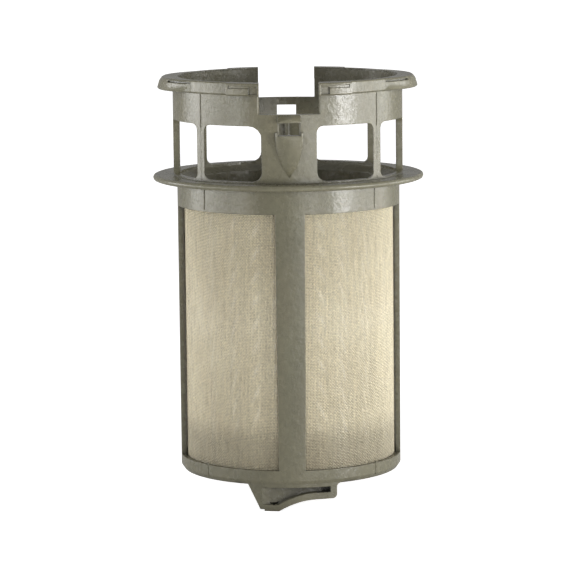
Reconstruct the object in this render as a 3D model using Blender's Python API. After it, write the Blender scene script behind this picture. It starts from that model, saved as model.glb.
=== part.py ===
"""Cylindrical dishwasher filter: a moulded cage with a notched, windowed head and a woven mesh cup.

Metres, +Z up. The axis of the cup is the Z axis, the front is towards -Y, and the lowest points of the
two bayonet cams lie on z = 0. The frame is the same when it is turned by half a turn about the axis,
but for the corners of the windows beside the two centre panels.
"""
import math

import bmesh
import bpy
from mathutils import Matrix

MM = 0.001

# Heights, from the bottom up
CAM_HEIGHT = 7.7 * MM
RING_HEIGHT = 4.3 * MM
BASKET_HEIGHT = 74.6 * MM
COLLAR_HEIGHT = 7.3 * MM
FLANGE_THICKNESS = 1.7 * MM
HEAD_HEIGHT = 28.9 * MM

# The turned body, outwards and inwards from the head
HEAD_RADIUS = 33.9 * MM
HEAD_WALL = 1.9 * MM
FLANGE_OVERHANG = 6.1 * MM
COLLAR_STEP = 1.0 * MM
RING_STEP = 0.1 * MM
CAGE_WALL = 1.4 * MM
RING_CHAMFER_HEIGHT = 1.3 * MM
RING_CHAMFER_DEPTH = 0.9 * MM
EDGE_ROUND = 0.35 * MM

# Mesh and the slots that hold it
MESH_CLEARANCE = 0.3 * MM
MESH_THICKNESS = 0.4 * MM
WEAVE_RELIEF = 0.18 * MM
SLOT_DEPTH = 2.0 * MM
SLOT_LIP = 0.9 * MM
FLOOR_LIP = 1.3 * MM
WEAVE_COLUMNS = 44
WEAVE_ROWS = 18
FLOOR_WEAVE_CELLS = 13
GAP_WIDTH = 1.6 * MM
GAP_COLUMNS = 5
GAP_ROWS = 6
GAP_COLUMN_PITCH = 2
GAP_ROW_PITCH = 3

# Upright ribs and floor cross
RIB_WIDTH_TOP = 8.5 * MM
RIB_WIDTH_BOTTOM = 7.7 * MM
CROSS_WIDTH = 4.0 * MM
CROSS_HEIGHT = 1.4 * MM
CROSS_LIFT = 0.4 * MM

# Lip
LIP_HEIGHT = 3.6 * MM
LIP_STEP = 0.4 * MM
EAR_OVERHANG = 4.1 * MM
EAR_TURN = 35.7
EAR_SLANT = 1.2 * MM
EAR_GROOVE_HEIGHT = 0.5 * MM
EAR_GROOVE_DEPTH = 0.4 * MM
EAR_GROOVE_DROP = 0.5 * MM
EAR_TIP = 3.0 * MM
TAB_OVERHANG = 2.7 * MM
TAB_END = 18.0 * MM
TAB_GROOVE_HEIGHT = 0.8 * MM
TAB_GROOVE_DEPTH = 0.3 * MM
TAB_GROOVE_DROP = 0.7 * MM
TAB_CHEEK = 0.6 * MM
TAB_RECESS_WIDTH = 2.5 * MM
TAB_RECESS_DEPTH = 0.6 * MM

# Notches, windows and posts
NOTCH_WIDTH = 17.1 * MM
NOTCH_FLOOR = 19.8 * MM
NOTCH_CHAMFER = 0.6 * MM
WINDOW_SILL = 0.4 * MM
WINDOW_TOP = 16.45 * MM
PANEL_WIDTH = 15.8 * MM
POST_TURN = 48.7
POST_WIDTH = 3.3 * MM
SIDE_POST_WIDTH = 3.0 * MM
PANEL_CORNER_WIDE = 3.7 * MM
PANEL_CORNER_TIGHT = 1.9 * MM
PANEL_CORNER_REAR = 6.4 * MM
PANEL_CORNER_FOOT = 2.7 * MM
POST_CORNER = 1.8 * MM

# Catch in each centre panel
CATCH_WIDTH = 5.8 * MM
CATCH_FLARE = 0.45 * MM
CATCH_FLARE_DEPTH = 0.6 * MM
CATCH_BOTTOM = 13.8 * MM
CATCH_TOP = 17.5 * MM
BARB_WIDTH = 6.6 * MM
BARB_TOP = 19.5 * MM
BARB_REACH = 1.1 * MM
RAMP_WIDTH = 7.9 * MM
RAMP_TIP = 1.8 * MM
RAMP_REACH = 1.1 * MM
RAMP_POINT = 0.8
STIFFENER_WIDTH = 1.3 * MM
STIFFENER_DEPTH = 1.1 * MM
STIFFENER_FOOT = 1.0 * MM

# Bayonet cam under the ring, seen from outside
CAM_STEP = 0.7 * MM
CAM_DEPTH = 4.4 * MM
CAM_LEFT_TOP = -12.9 * MM
CAM_FOOT_LEFT = -9.4 * MM
CAM_FOOT_RIGHT = -4.0 * MM
CAM_HEEL_WIDTH = 1.2 * MM
CAM_HEEL_HEIGHT = 0.5 * MM
CAM_RISE_END = 7.0 * MM
CAM_RISE = 3.3 * MM
CAM_RIGHT = 12.95 * MM
CAM_CORNER = 1.2 * MM
CAM_FILLET = 1.1 * MM
CAM_BAND = 0.8 * MM
CAM_RAIL = 1.9 * MM
CAM_LEFT_WALL = 1.6 * MM
CAM_POCKET_NEAR = 0.12 * MM
CAM_POCKET_FAR = 2.1 * MM
CAM_WEB = 0.4 * MM
CAM_SLOT_WIDTH = 2.5 * MM
CAM_SLOT_HEIGHT = 1.5 * MM
CAM_SLIT_WIDTH = 2.9 * MM
CAM_SLIT_HEIGHT = 1.0 * MM
CAM_SLIT_THICKNESS = 0.6 * MM

# Fineness of round forms
TURN_STEPS = 64
CORNER_STEPS = 4
CURVE_STEPS = 7
TINY_CORNER_STEPS = 1

# Worked out from the sizes above
RING_TOP = CAM_HEIGHT + RING_HEIGHT
COLLAR_BOTTOM = RING_TOP + BASKET_HEIGHT
FLANGE_BOTTOM = COLLAR_BOTTOM + COLLAR_HEIGHT
FLANGE_TOP = FLANGE_BOTTOM + FLANGE_THICKNESS
HEAD_TOP = FLANGE_TOP + HEAD_HEIGHT
FLANGE_RADIUS = HEAD_RADIUS + FLANGE_OVERHANG
COLLAR_RADIUS = HEAD_RADIUS - COLLAR_STEP
RING_RADIUS = COLLAR_RADIUS - RING_STEP
HEAD_BORE = HEAD_RADIUS - HEAD_WALL
CAGE_BORE = RING_RADIUS - CAGE_WALL
SLEEVE_OUTSIDE = CAGE_BORE - MESH_CLEARANCE
SLEEVE_MIDDLE = SLEEVE_OUTSIDE - WEAVE_RELIEF - MESH_THICKNESS / 2
SLEEVE_INSIDE = SLEEVE_MIDDLE - MESH_THICKNESS / 2 - WEAVE_RELIEF
SLOT_INSIDE = SLEEVE_INSIDE - MESH_CLEARANCE
COLLAR_BORE = SLOT_INSIDE - SLOT_LIP
FLOOR_RADIUS = SLOT_INSIDE - SLOT_LIP - MESH_CLEARANCE
RING_BORE = FLOOR_RADIUS - FLOOR_LIP
FLOOR_SEAT = CAM_HEIGHT + CROSS_LIFT + CROSS_HEIGHT + WEAVE_RELIEF
FLOOR_MIDDLE = FLOOR_SEAT + MESH_CLEARANCE + WEAVE_RELIEF + MESH_THICKNESS / 2
FLOOR_SLOT_TOP = FLOOR_MIDDLE + MESH_THICKNESS / 2 + WEAVE_RELIEF + MESH_CLEARANCE
LIP_BOTTOM = HEAD_TOP - LIP_HEIGHT
LIP_RADIUS = HEAD_RADIUS + LIP_STEP
TAB_RADIUS = LIP_RADIUS + TAB_OVERHANG
EAR_REACH = LIP_RADIUS + EAR_OVERHANG
EAR_BASE = LIP_RADIUS * math.cos(math.radians(EAR_TURN))
EAR_CENTRE = (EAR_REACH ** 2 - LIP_RADIUS ** 2) / (2 * (EAR_REACH - EAR_BASE))
EAR_ROUND = EAR_REACH - EAR_CENTRE
POST_HALF_TURN = POST_WIDTH / 2 / HEAD_RADIUS
POST_FRONT = HEAD_RADIUS * math.sin(math.radians(POST_TURN) - POST_HALF_TURN)
POST_SIDE = HEAD_RADIUS * math.cos(math.radians(POST_TURN) + POST_HALF_TURN)
CAM_RADIUS = RING_RADIUS - CAM_STEP
CAM_POCKET_TOP = CAM_HEIGHT - CAM_BAND
CAM_SLOPE = (CAM_FOOT_LEFT - CAM_LEFT_TOP) / (CAM_HEIGHT - CAM_HEEL_HEIGHT)
BEYOND = HEAD_RADIUS + 2 * FLANGE_OVERHANG


def clear_scene():
    """Remove every object, so the script starts from nothing."""
    for old in list(bpy.data.objects):
        bpy.data.objects.remove(old, do_unlink=True)


def make_material(name, colour, roughness, metallic=0.0):
    """Plain material for one kind of surface."""
    material = bpy.data.materials.new(name)
    material.use_nodes = True
    shader = material.node_tree.nodes["Principled BSDF"]
    shader.inputs["Base Color"].default_value = (*colour, 1.0)
    shader.inputs["Roughness"].default_value = roughness
    shader.inputs["Metallic"].default_value = metallic
    material.diffuse_color = (*colour, 1.0)
    return material


def make_object(name, bm, material=None):
    """Turn a bmesh into an object, with round surfaces shaded smooth."""
    bmesh.ops.remove_doubles(bm, verts=bm.verts, dist=1e-7)
    bmesh.ops.recalc_face_normals(bm, faces=bm.faces)
    mesh = bpy.data.meshes.new(name)
    bm.to_mesh(mesh)
    bm.free()
    mesh.shade_smooth()
    mesh.set_sharp_from_angle(angle=math.radians(30))
    if material:
        mesh.materials.append(material)
    made = bpy.data.objects.new(name, mesh)
    bpy.context.collection.objects.link(made)
    return made


def boolean(target, tool, operation):
    """Join, cut or keep the common part of two solids, with the tool drawn as a wire guide.

    The exact solver leaves open slivers here once a size is changed, and the manifold one doesn't.
    """
    tool.hide_render = True
    tool.display_type = 'WIRE'
    step = target.modifiers.new(tool.name, 'BOOLEAN')
    step.operation = operation
    step.solver = 'MANIFOLD'
    step.object = tool


def add_turned(bm, profile):
    """Spin a closed profile of (radius, height) points into a ring."""
    corners = [bm.verts.new((radius, 0.0, height)) for radius, height in profile]
    edges = [bm.edges.new((corners[i - 1], corners[i])) for i in range(len(corners))]
    bmesh.ops.spin(bm, geom=corners + edges, cent=(0, 0, 0), axis=(0, 0, 1), angle=math.tau,
                   steps=TURN_STEPS, use_merge=True)


def add_prism(bm, outline, start, end, along='Y'):
    """Extrude a closed outline from start to end along X, Y or Z.

    The outline's points are (x, z) for a prism along Y, (y, z) along X and (x, y) along Z.
    """
    place = {
        'X': lambda u, v, w: (w, u, v),
        'Y': lambda u, v, w: (u, w, v),
        'Z': lambda u, v, w: (u, v, w),
    }
    corners = [bm.verts.new(place[along](u, v, start)) for u, v in outline]
    base = bm.faces.new(corners)
    grown = bmesh.ops.extrude_face_region(bm, geom=[base])
    moved = [item for item in grown["geom"] if isinstance(item, bmesh.types.BMVert)]
    bmesh.ops.translate(bm, verts=moved, vec=place[along](0.0, 0.0, end - start))


def add_loft(bm, loops, ends='CAPPED'):
    """Skin a stack of closed loops of points, with its ends capped or joined to each other."""
    rings = [[bm.verts.new(point) for point in points] for points in loops]
    pairs = list(zip(rings, rings[1:]))
    if ends == 'CAPPED':
        bm.faces.new(rings[0])
        bm.faces.new(rings[-1])
    else:
        pairs.append((rings[-1], rings[0]))
    for lower, upper in pairs:
        for i in range(len(lower)):
            bm.faces.new((lower[i - 1], lower[i], upper[i], upper[i - 1]))


def turn_copy(bm):
    """Add a copy of everything, turned by half a turn about the axis."""
    copy = bmesh.ops.duplicate(bm, geom=bm.verts[:] + bm.edges[:] + bm.faces[:])
    turned = [item for item in copy["geom"] if isinstance(item, bmesh.types.BMVert)]
    bmesh.ops.rotate(bm, verts=turned, cent=(0, 0, 0), matrix=Matrix.Rotation(math.pi, 3, 'Z'))


def rounded_box(left, right, bottom, top, rounds, steps=CORNER_STEPS):
    """Outline of a box with a radius for each corner: top right, top left, bottom left, bottom right."""
    ends = ((right, top, -1, -1), (left, top, 1, -1), (left, bottom, 1, 1), (right, bottom, -1, 1))
    outline = []
    for quarter, (end, level, inward, upward) in enumerate(ends):
        radius = rounds[quarter]
        across, up = end + inward * radius, level + upward * radius
        for step in range(steps + 1):
            angle = (quarter + step / steps) * math.pi / 2
            outline.append((across + radius * math.cos(angle), up + radius * math.sin(angle)))
    return outline


def eased_box(left, right, bottom, top):
    """Outline of a small box with its corners just taken off."""
    return rounded_box(left, right, bottom, top, [EDGE_ROUND] * 4, TINY_CORNER_STEPS)


def body_profile():
    """Section of the whole frame to one side of the axis, from the head's top round and back."""
    flange_round = FLANGE_THICKNESS / 2
    edge = [
        (FLANGE_RADIUS - flange_round * (1 - math.sin(angle)),
         FLANGE_BOTTOM + flange_round * (1 + math.cos(angle)))
        for angle in (math.pi * step / 4 for step in range(5))
    ]
    outside = [
        (HEAD_RADIUS - EDGE_ROUND, HEAD_TOP - EDGE_ROUND),
        (HEAD_RADIUS, HEAD_TOP - 2 * EDGE_ROUND),
        (HEAD_RADIUS, FLANGE_TOP),
        *edge,
        (COLLAR_RADIUS, FLANGE_BOTTOM),
        (COLLAR_RADIUS, COLLAR_BOTTOM),
        (RING_RADIUS, RING_TOP),
        (RING_RADIUS, CAM_HEIGHT + RING_CHAMFER_HEIGHT),
        (RING_RADIUS - RING_CHAMFER_DEPTH, CAM_HEIGHT),
    ]
    inside = [
        (RING_BORE, CAM_HEIGHT),
        (RING_BORE, FLOOR_SEAT),
        (FLOOR_RADIUS + MESH_CLEARANCE, FLOOR_SEAT),
        (FLOOR_RADIUS + MESH_CLEARANCE, FLOOR_SLOT_TOP),
        (RING_BORE, FLOOR_SLOT_TOP),
        (RING_BORE, RING_TOP - 2 * EDGE_ROUND),
        (RING_BORE + EDGE_ROUND, RING_TOP - EDGE_ROUND),
        (SLOT_INSIDE, RING_TOP - EDGE_ROUND),
        (SLOT_INSIDE, RING_TOP - SLOT_DEPTH),
        (CAGE_BORE, RING_TOP - SLOT_DEPTH),
        (CAGE_BORE, COLLAR_BOTTOM + SLOT_DEPTH),
        (SLOT_INSIDE, COLLAR_BOTTOM + SLOT_DEPTH),
        (SLOT_INSIDE, COLLAR_BOTTOM + EDGE_ROUND),
        (COLLAR_BORE, COLLAR_BOTTOM + EDGE_ROUND),
        (COLLAR_BORE, FLANGE_BOTTOM - EDGE_ROUND),
        (HEAD_BORE, FLANGE_TOP - EDGE_ROUND),
        (HEAD_BORE, HEAD_TOP - EDGE_ROUND),
    ]
    return outside + inside


def ear_slant(angle):
    """How far the ear's top edge leans in, most at its tip."""
    return EAR_SLANT * (1 - angle / math.radians(EAR_TURN))


def lip_outline():
    """Angle, radius and outward slant of the lip, for one quarter of a turn from an ear to a notch."""
    ear_end = math.radians(EAR_TURN)
    tab_start = math.acos(TAB_END / LIP_RADIUS)
    tab_full = math.acos(TAB_END / TAB_RADIUS)
    points = []
    for step in range(CURVE_STEPS + 1):
        angle = ear_end * step / CURVE_STEPS
        aside = EAR_CENTRE * math.sin(angle)
        reach = EAR_CENTRE * math.cos(angle) + math.sqrt(EAR_ROUND ** 2 - aside ** 2)
        points.append((angle, reach, ear_slant(angle)))
    for step in range(1, CORNER_STEPS + 1):
        points.append((ear_end + (tab_start - ear_end) * step / CORNER_STEPS, LIP_RADIUS, 0.0))
    for step in range(CORNER_STEPS + 2):
        angle = tab_full + (math.pi / 2 - tab_full) * step / (CORNER_STEPS + 1)
        points.append((angle, TAB_RADIUS, 0.0))
    return points


def lip_ring():
    """The lip's outline all the way round, as (angle, radius, slant)."""
    quarter = lip_outline()
    half = quarter + [(math.pi - angle, radius, slant) for angle, radius, slant in quarter[-2::-1]]
    lower = [(math.tau - angle, radius, slant) for angle, radius, slant in half[-2:0:-1]]
    return half + lower


def polar(angle, radius, height):
    """Point at an angle from +X, a radius and a height."""
    return (radius * math.cos(angle), radius * math.sin(angle), height)


def add_lip(bm):
    """Plate round the top of the head: an ear at each side, and a tab on each side of both notches."""
    ring = lip_ring()
    inner = HEAD_BORE + LIP_STEP
    levels = (
        (LIP_BOTTOM, EDGE_ROUND, 0.0),
        (LIP_BOTTOM + EDGE_ROUND, 0.0, 0.0),
        (HEAD_TOP - LIP_HEIGHT / 3, 0.0, 0.5),
        (HEAD_TOP - EDGE_ROUND, 0.0, 1.0),
        (HEAD_TOP, EDGE_ROUND, 1.2),
    )
    loops = [[polar(angle, inner, LIP_BOTTOM) for angle, _, _ in ring]]
    for height, inset, share in levels:
        loops.append([polar(angle, radius - inset - share * slant, height)
                      for angle, radius, slant in ring])
    loops.append([polar(angle, inner, HEAD_TOP) for angle, _, _ in ring])
    add_loft(bm, loops, ends='JOINED')


def add_arc_cut(bm, centre, floor, bottom, top):
    """Strip cut into the lip's face, in all four quarters of the lip.

    The floor is a list of (angle, radius) about a centre on the X axis.
    """
    outside = [(angle, BEYOND) for angle, _ in reversed(floor)]
    for flip_x in (-1, 1):
        for flip_y in (-1, 1):
            outline = [(flip_x * (centre + radius * math.cos(angle)), flip_y * radius * math.sin(angle))
                       for angle, radius in floor + outside]
            add_prism(bm, outline, bottom, top, along='Z')


def tab_floor(near, far, depth):
    """Floor of a cut in a tab, between two distances from the YZ plane."""
    start, end = math.acos(far / TAB_RADIUS), math.acos(near / TAB_RADIUS)
    steps = [start + (end - start) * step / CORNER_STEPS for step in range(CORNER_STEPS + 1)]
    return [(angle, TAB_RADIUS - depth) for angle in steps]


def ear_floor():
    """Floor of the groove in an ear, from near its tip to where the ear leaves the lip."""
    tip = math.acos((EAR_REACH - EAR_TIP - EAR_CENTRE) / EAR_ROUND)
    base = math.acos((EAR_BASE - EAR_CENTRE) / EAR_ROUND) - EAR_GROOVE_DEPTH / EAR_ROUND
    floor = []
    for step in range(CORNER_STEPS + 1):
        angle = tip + (base - tip) * step / CORNER_STEPS
        turn = math.atan2(EAR_ROUND * math.sin(angle), EAR_CENTRE + EAR_ROUND * math.cos(angle))
        floor.append((angle, EAR_ROUND - EAR_GROOVE_DEPTH - ear_slant(turn)))
    return floor


def add_ramp(bm):
    """Shield-shaped wedge under the catch: a flat face, proudest at its top, that ends in a point."""
    shoulder = FLANGE_TOP + CATCH_BOTTOM
    top = shoulder + (CATCH_TOP - CATCH_BOTTOM) / 4
    tip = FLANGE_TOP + RAMP_TIP
    buried = -HEAD_RADIUS + HEAD_WALL / 3
    loops = []
    rows = [(top, 1.0)]
    for step in range(CURVE_STEPS + 1):
        share = step / CURVE_STEPS
        rows.append((shoulder + (tip - shoulder) * share, 1.0 - share))
    for height, share in rows:
        half = max(RAMP_WIDTH / 2 * (1 - (1 - share) ** 2) ** RAMP_POINT, EDGE_ROUND / 4)
        ease = min(EDGE_ROUND, half / 2)
        face = -HEAD_RADIUS - RAMP_REACH * share
        loops.append([
            (-half, buried, height),
            (-half, face + ease, height),
            (ease - half, face, height),
            (half - ease, face, height),
            (half, face + ease, height),
            (half, buried, height),
        ])
    add_loft(bm, loops)


def add_barb(bm):
    """Hook over the catch: flush with the wall at its top and proud above the opening."""
    lower = FLANGE_TOP + CATCH_TOP
    bottom = lower - (CATCH_TOP - CATCH_BOTTOM) / 4
    upper = FLANGE_TOP + BARB_TOP
    half = BARB_WIDTH / 2
    wall = math.sqrt(HEAD_RADIUS ** 2 - half ** 2)
    buried = HEAD_WALL / 3
    section = [
        (-wall + buried, bottom),
        (-HEAD_RADIUS - BARB_REACH, bottom),
        (-HEAD_RADIUS - BARB_REACH, lower + EDGE_ROUND),
        (-HEAD_RADIUS - EDGE_ROUND, upper),
        (-wall + buried, upper),
    ]
    add_prism(bm, section, -half, half, along='X')


def add_stiffener(bm):
    """Thin upright rib on the inner face of the centre panel."""
    half = STIFFENER_WIDTH / 2
    foot = FLANGE_TOP + STIFFENER_FOOT
    head = FLANGE_TOP + CATCH_BOTTOM + EDGE_ROUND
    outline = [(-half, foot), (half, foot), (half, head), (-half, head)]
    add_prism(bm, outline, -HEAD_BORE - HEAD_WALL / 3, -HEAD_BORE + STIFFENER_DEPTH)


def add_floor_cross(bm):
    """Plus-shaped bars across the ring that carry the floor mesh."""
    half = CROSS_WIDTH / 2
    reach = (RING_BORE + FLOOR_RADIUS) / 2 + MESH_CLEARANCE
    outline = [(half, half), (half, reach), (-half, reach), (-half, half),
               (-reach, half), (-reach, -half), (-half, -half), (-half, -reach),
               (half, -reach), (half, -half), (reach, -half), (reach, half)]
    add_prism(bm, outline, CAM_HEIGHT + CROSS_LIFT, CAM_HEIGHT + CROSS_LIFT + CROSS_HEIGHT, along='Z')


def cam_underside(across):
    """Height of the cam's lower edge: flat at the foot, then an arc that eases out to the right."""
    share = min(max((across - CAM_FOOT_RIGHT) / (CAM_RISE_END - CAM_FOOT_RIGHT), 0.0), 1.0)
    return CAM_RISE * (1 - (1 - share) ** 2)


def cam_curve(start, end, lift):
    """Points along the cam's lower edge, lifted by a rail's thickness where the pocket needs it."""
    spots = [start + (end - start) * step / CURVE_STEPS for step in range(CURVE_STEPS + 1)]
    return [(spot, cam_underside(spot) + lift) for spot in spots]


def cam_outline():
    """Outside shape of the cam, from its foot round to the ring that it hangs from."""
    buried = CAM_HEIGHT + (RING_HEIGHT - CROSS_LIFT) / 4
    heel = CAM_FOOT_LEFT + CAM_HEEL_WIDTH
    outline = [(CAM_FOOT_LEFT, CAM_HEEL_HEIGHT), (heel, CAM_HEEL_HEIGHT), (heel, 0.0)]
    outline += cam_curve(CAM_FOOT_RIGHT, CAM_RISE_END, 0.0)
    for step in range(CORNER_STEPS + 1):
        angle = math.pi / 2 * (step / CORNER_STEPS - 1)
        outline.append((CAM_RIGHT + CAM_CORNER * (math.cos(angle) - 1),
                        cam_underside(CAM_RIGHT) + CAM_CORNER * (math.sin(angle) + 1)))
    for step in range(CORNER_STEPS):
        angle = math.pi / 2 * step / CORNER_STEPS
        outline.append((CAM_RIGHT + CAM_FILLET * (1 - math.cos(angle)),
                        CAM_HEIGHT - CAM_FILLET * (1 - math.sin(angle))))
    outline += [(CAM_RIGHT + CAM_FILLET, CAM_HEIGHT + EDGE_ROUND / 4), (CAM_RIGHT + CAM_FILLET, buried),
                (CAM_LEFT_TOP - CAM_SLOPE * (buried - CAM_HEIGHT), buried)]
    return outline


def add_cam_pocket(bm):
    """Recess in the cam's outer face that leaves a rail along its lower edge, shallow at the left."""
    right = CAM_RIGHT - CAM_RAIL
    left_top = CAM_LEFT_TOP + CAM_LEFT_WALL + CAM_SLOPE * CAM_BAND
    left_bottom = CAM_FOOT_LEFT + CAM_LEFT_WALL - CAM_SLOPE * CAM_RAIL
    outline = [(left_bottom, cam_underside(left_bottom) + CAM_RAIL)]
    outline += cam_curve(CAM_FOOT_RIGHT, CAM_RISE_END, CAM_RAIL)
    outline += [(right, cam_underside(right) + CAM_RAIL), (right, CAM_POCKET_TOP),
                (left_top, CAM_POCKET_TOP)]
    near = math.sqrt((CAM_RADIUS - CAM_POCKET_NEAR) ** 2 - left_bottom ** 2)
    far = math.sqrt((CAM_RADIUS - CAM_POCKET_FAR) ** 2 - right ** 2)
    lean = (near - far) / (right - left_bottom)
    back = [bm.verts.new((across, -near + lean * (across - left_bottom), up)) for across, up in outline]
    face = bm.faces.new(back)
    grown = bmesh.ops.extrude_face_region(bm, geom=[face])
    moved = [item for item in grown["geom"] if isinstance(item, bmesh.types.BMVert)]
    for corner in moved:
        corner.co.y = -BEYOND


def cam_hole_floor(across):
    """Where a blind hole ends, so that a web is left towards the inside of the cam."""
    inside = CAM_RADIUS - CAM_DEPTH + CAM_WEB
    return -math.sqrt(inside ** 2 - across ** 2)


def cam_slit():
    """Crescent over the foot, with its hollow side up."""
    middle = CAM_FOOT_RIGHT - CAM_SLIT_WIDTH / 2
    level = CAM_RAIL - EDGE_ROUND / 2 + CAM_SLIT_HEIGHT
    turns = [math.pi * (1 + step / CURVE_STEPS) for step in range(CURVE_STEPS + 1)]
    lower = [(middle + CAM_SLIT_WIDTH / 2 * math.cos(turn), level + CAM_SLIT_HEIGHT * math.sin(turn))
             for turn in turns]
    drop = CAM_SLIT_HEIGHT - CAM_SLIT_THICKNESS
    upper = [(middle + CAM_SLIT_WIDTH / 2 * math.cos(turn), level + drop * math.sin(turn))
             for turn in turns[-2:0:-1]]
    return lower + upper


def make_cams():
    """Both cams, each a slice of a ring with its pocket and two small blind holes."""
    bm = bmesh.new()
    add_prism(bm, cam_outline(), -BEYOND, -CAM_RADIUS / 2)
    turn_copy(bm)
    cams = make_object("frame_cams", bm)

    bm = bmesh.new()
    add_turned(bm, [(CAM_RADIUS, -CAM_HEIGHT), (CAM_RADIUS, 2 * CAM_HEIGHT),
                    (CAM_RADIUS - CAM_DEPTH, 2 * CAM_HEIGHT), (CAM_RADIUS - CAM_DEPTH, -CAM_HEIGHT)])
    boolean(cams, make_object("frame_cam_ring", bm), 'INTERSECT')

    bm = bmesh.new()
    add_cam_pocket(bm)
    turn_copy(bm)
    boolean(cams, make_object("frame_cam_pockets", bm), 'DIFFERENCE')

    bm = bmesh.new()
    right = CAM_RIGHT - CAM_RAIL - EDGE_ROUND / 2
    top = CAM_POCKET_TOP - EDGE_ROUND / 2
    slot = eased_box(right - CAM_SLOT_WIDTH, right, top - CAM_SLOT_HEIGHT, top)
    add_prism(bm, slot, -BEYOND, cam_hole_floor(right - CAM_SLOT_WIDTH))
    add_prism(bm, cam_slit(), -BEYOND, cam_hole_floor(CAM_FOOT_RIGHT))
    turn_copy(bm)
    boolean(cams, make_object("frame_cam_holes", bm), 'DIFFERENCE')
    return cams


def cut_front_and_back(frame):
    """Notches, catch openings and the windows that the front and back slides of a mould would leave."""
    bm = bmesh.new()
    inside = -HEAD_BORE / 2
    half = NOTCH_WIDTH / 2
    floor = FLANGE_TOP + NOTCH_FLOOR
    above = HEAD_TOP + HEAD_HEIGHT / 4
    add_prism(bm, [(-half, floor), (half, floor), (half, above), (-half, above)], -BEYOND, inside)
    loops = []
    for deep, half in (
            (-BEYOND, CATCH_WIDTH / 2 + CATCH_FLARE),
            (-HEAD_RADIUS, CATCH_WIDTH / 2 + CATCH_FLARE),
            (-HEAD_RADIUS + CATCH_FLARE_DEPTH, CATCH_WIDTH / 2),
            (inside, CATCH_WIDTH / 2)):
        bottom, top = FLANGE_TOP + CATCH_BOTTOM, FLANGE_TOP + CATCH_TOP
        loops.append([(-half, deep, bottom), (half, deep, bottom), (half, deep, top), (-half, deep, top)])
    add_loft(bm, loops)
    turn_copy(bm)
    for side, corner, start, end in (
            (-1, PANEL_CORNER_WIDE, -BEYOND, inside), (1, PANEL_CORNER_TIGHT, -BEYOND, inside),
            (-1, PANEL_CORNER_REAR, -inside, BEYOND), (1, PANEL_CORNER_REAR, -inside, BEYOND)):
        rounds = (POST_CORNER, corner, PANEL_CORNER_FOOT, POST_CORNER)
        window = rounded_box(PANEL_WIDTH / 2, POST_FRONT, FLANGE_TOP + WINDOW_SILL,
                             FLANGE_TOP + WINDOW_TOP, rounds)
        add_prism(bm, [(side * across, up) for across, up in window], start, end)
    boolean(frame, make_object("frame_front_cuts", bm), 'DIFFERENCE')


def cut_sides(frame):
    """Side windows of the head, and the four tall openings between the upright ribs."""
    bm = bmesh.new()
    sill = FLANGE_TOP + WINDOW_SILL
    window = rounded_box(SIDE_POST_WIDTH / 2, POST_SIDE, sill, FLANGE_TOP + WINDOW_TOP,
                         [POST_CORNER] * 4)
    add_prism(bm, window, -BEYOND, BEYOND, along='X')
    add_prism(bm, [(-across, up) for across, up in window], -BEYOND, BEYOND, along='X')
    for side_x in (-1, 1):
        for side_y in (-1, 1):
            loops = []
            for height, width in ((RING_TOP, RIB_WIDTH_BOTTOM), (COLLAR_BOTTOM, RIB_WIDTH_TOP)):
                near = width / 2
                square = ((near, near), (BEYOND, near), (BEYOND, BEYOND), (near, BEYOND))
                loops.append([(side_x * across, side_y * deep, height) for across, deep in square])
            add_loft(bm, loops)
    boolean(frame, make_object("frame_side_cuts", bm), 'DIFFERENCE')


def cut_lip(frame):
    """Grooves under the lip's top edge, the step beside each notch, and the notch's eased edges."""
    near = NOTCH_WIDTH / 2 + TAB_CHEEK
    bm = bmesh.new()
    top = HEAD_TOP - TAB_GROOVE_DROP
    add_arc_cut(bm, 0.0, tab_floor(near, TAB_END - TAB_CHEEK, TAB_GROOVE_DEPTH),
                top - TAB_GROOVE_HEIGHT, top)
    top = HEAD_TOP - EAR_GROOVE_DROP
    add_arc_cut(bm, EAR_CENTRE, ear_floor(), top - EAR_GROOVE_HEIGHT, top)
    boolean(frame, make_object("frame_lip_grooves", bm), 'DIFFERENCE')

    bm = bmesh.new()
    add_arc_cut(bm, 0.0, tab_floor(near, near + TAB_RECESS_WIDTH, TAB_RECESS_DEPTH),
                LIP_BOTTOM + EDGE_ROUND, HEAD_TOP - TAB_GROOVE_DROP - TAB_GROOVE_HEIGHT / 2)
    half = NOTCH_WIDTH / 2
    wall = math.sqrt(HEAD_RADIUS ** 2 - half ** 2)
    for flip_x in (-1, 1):
        for flip_y in (-1, 1):
            outline = [(half - NOTCH_CHAMFER, wall - 2 * NOTCH_CHAMFER),
                       (half + 2 * NOTCH_CHAMFER, wall + NOTCH_CHAMFER),
                       (half - NOTCH_CHAMFER, wall + NOTCH_CHAMFER)]
            add_prism(bm, [(flip_x * across, flip_y * deep) for across, deep in outline],
                      FLANGE_TOP + NOTCH_FLOOR, LIP_BOTTOM - EDGE_ROUND, along='Z')
    boolean(frame, make_object("frame_lip_steps", bm), 'DIFFERENCE')


def make_frame(material):
    """The moulded frame: a turned body, then what stands proud of it, then what is cut out of it."""
    bm = bmesh.new()
    add_turned(bm, body_profile())
    frame = make_object("frame", bm, material)

    bm = bmesh.new()
    add_ramp(bm)
    add_barb(bm)
    add_stiffener(bm)
    turn_copy(bm)
    add_lip(bm)
    add_floor_cross(bm)
    boolean(frame, make_object("frame_raised", bm), 'UNION')

    boolean(frame, make_cams(), 'UNION')

    cut_front_and_back(frame)
    cut_sides(frame)
    cut_lip(frame)
    return frame


def weave(column, row):
    """Over and under: which way the cloth stands out where two threads cross."""
    return WEAVE_RELIEF * (1 if (column + row) % 2 else -1)


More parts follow.
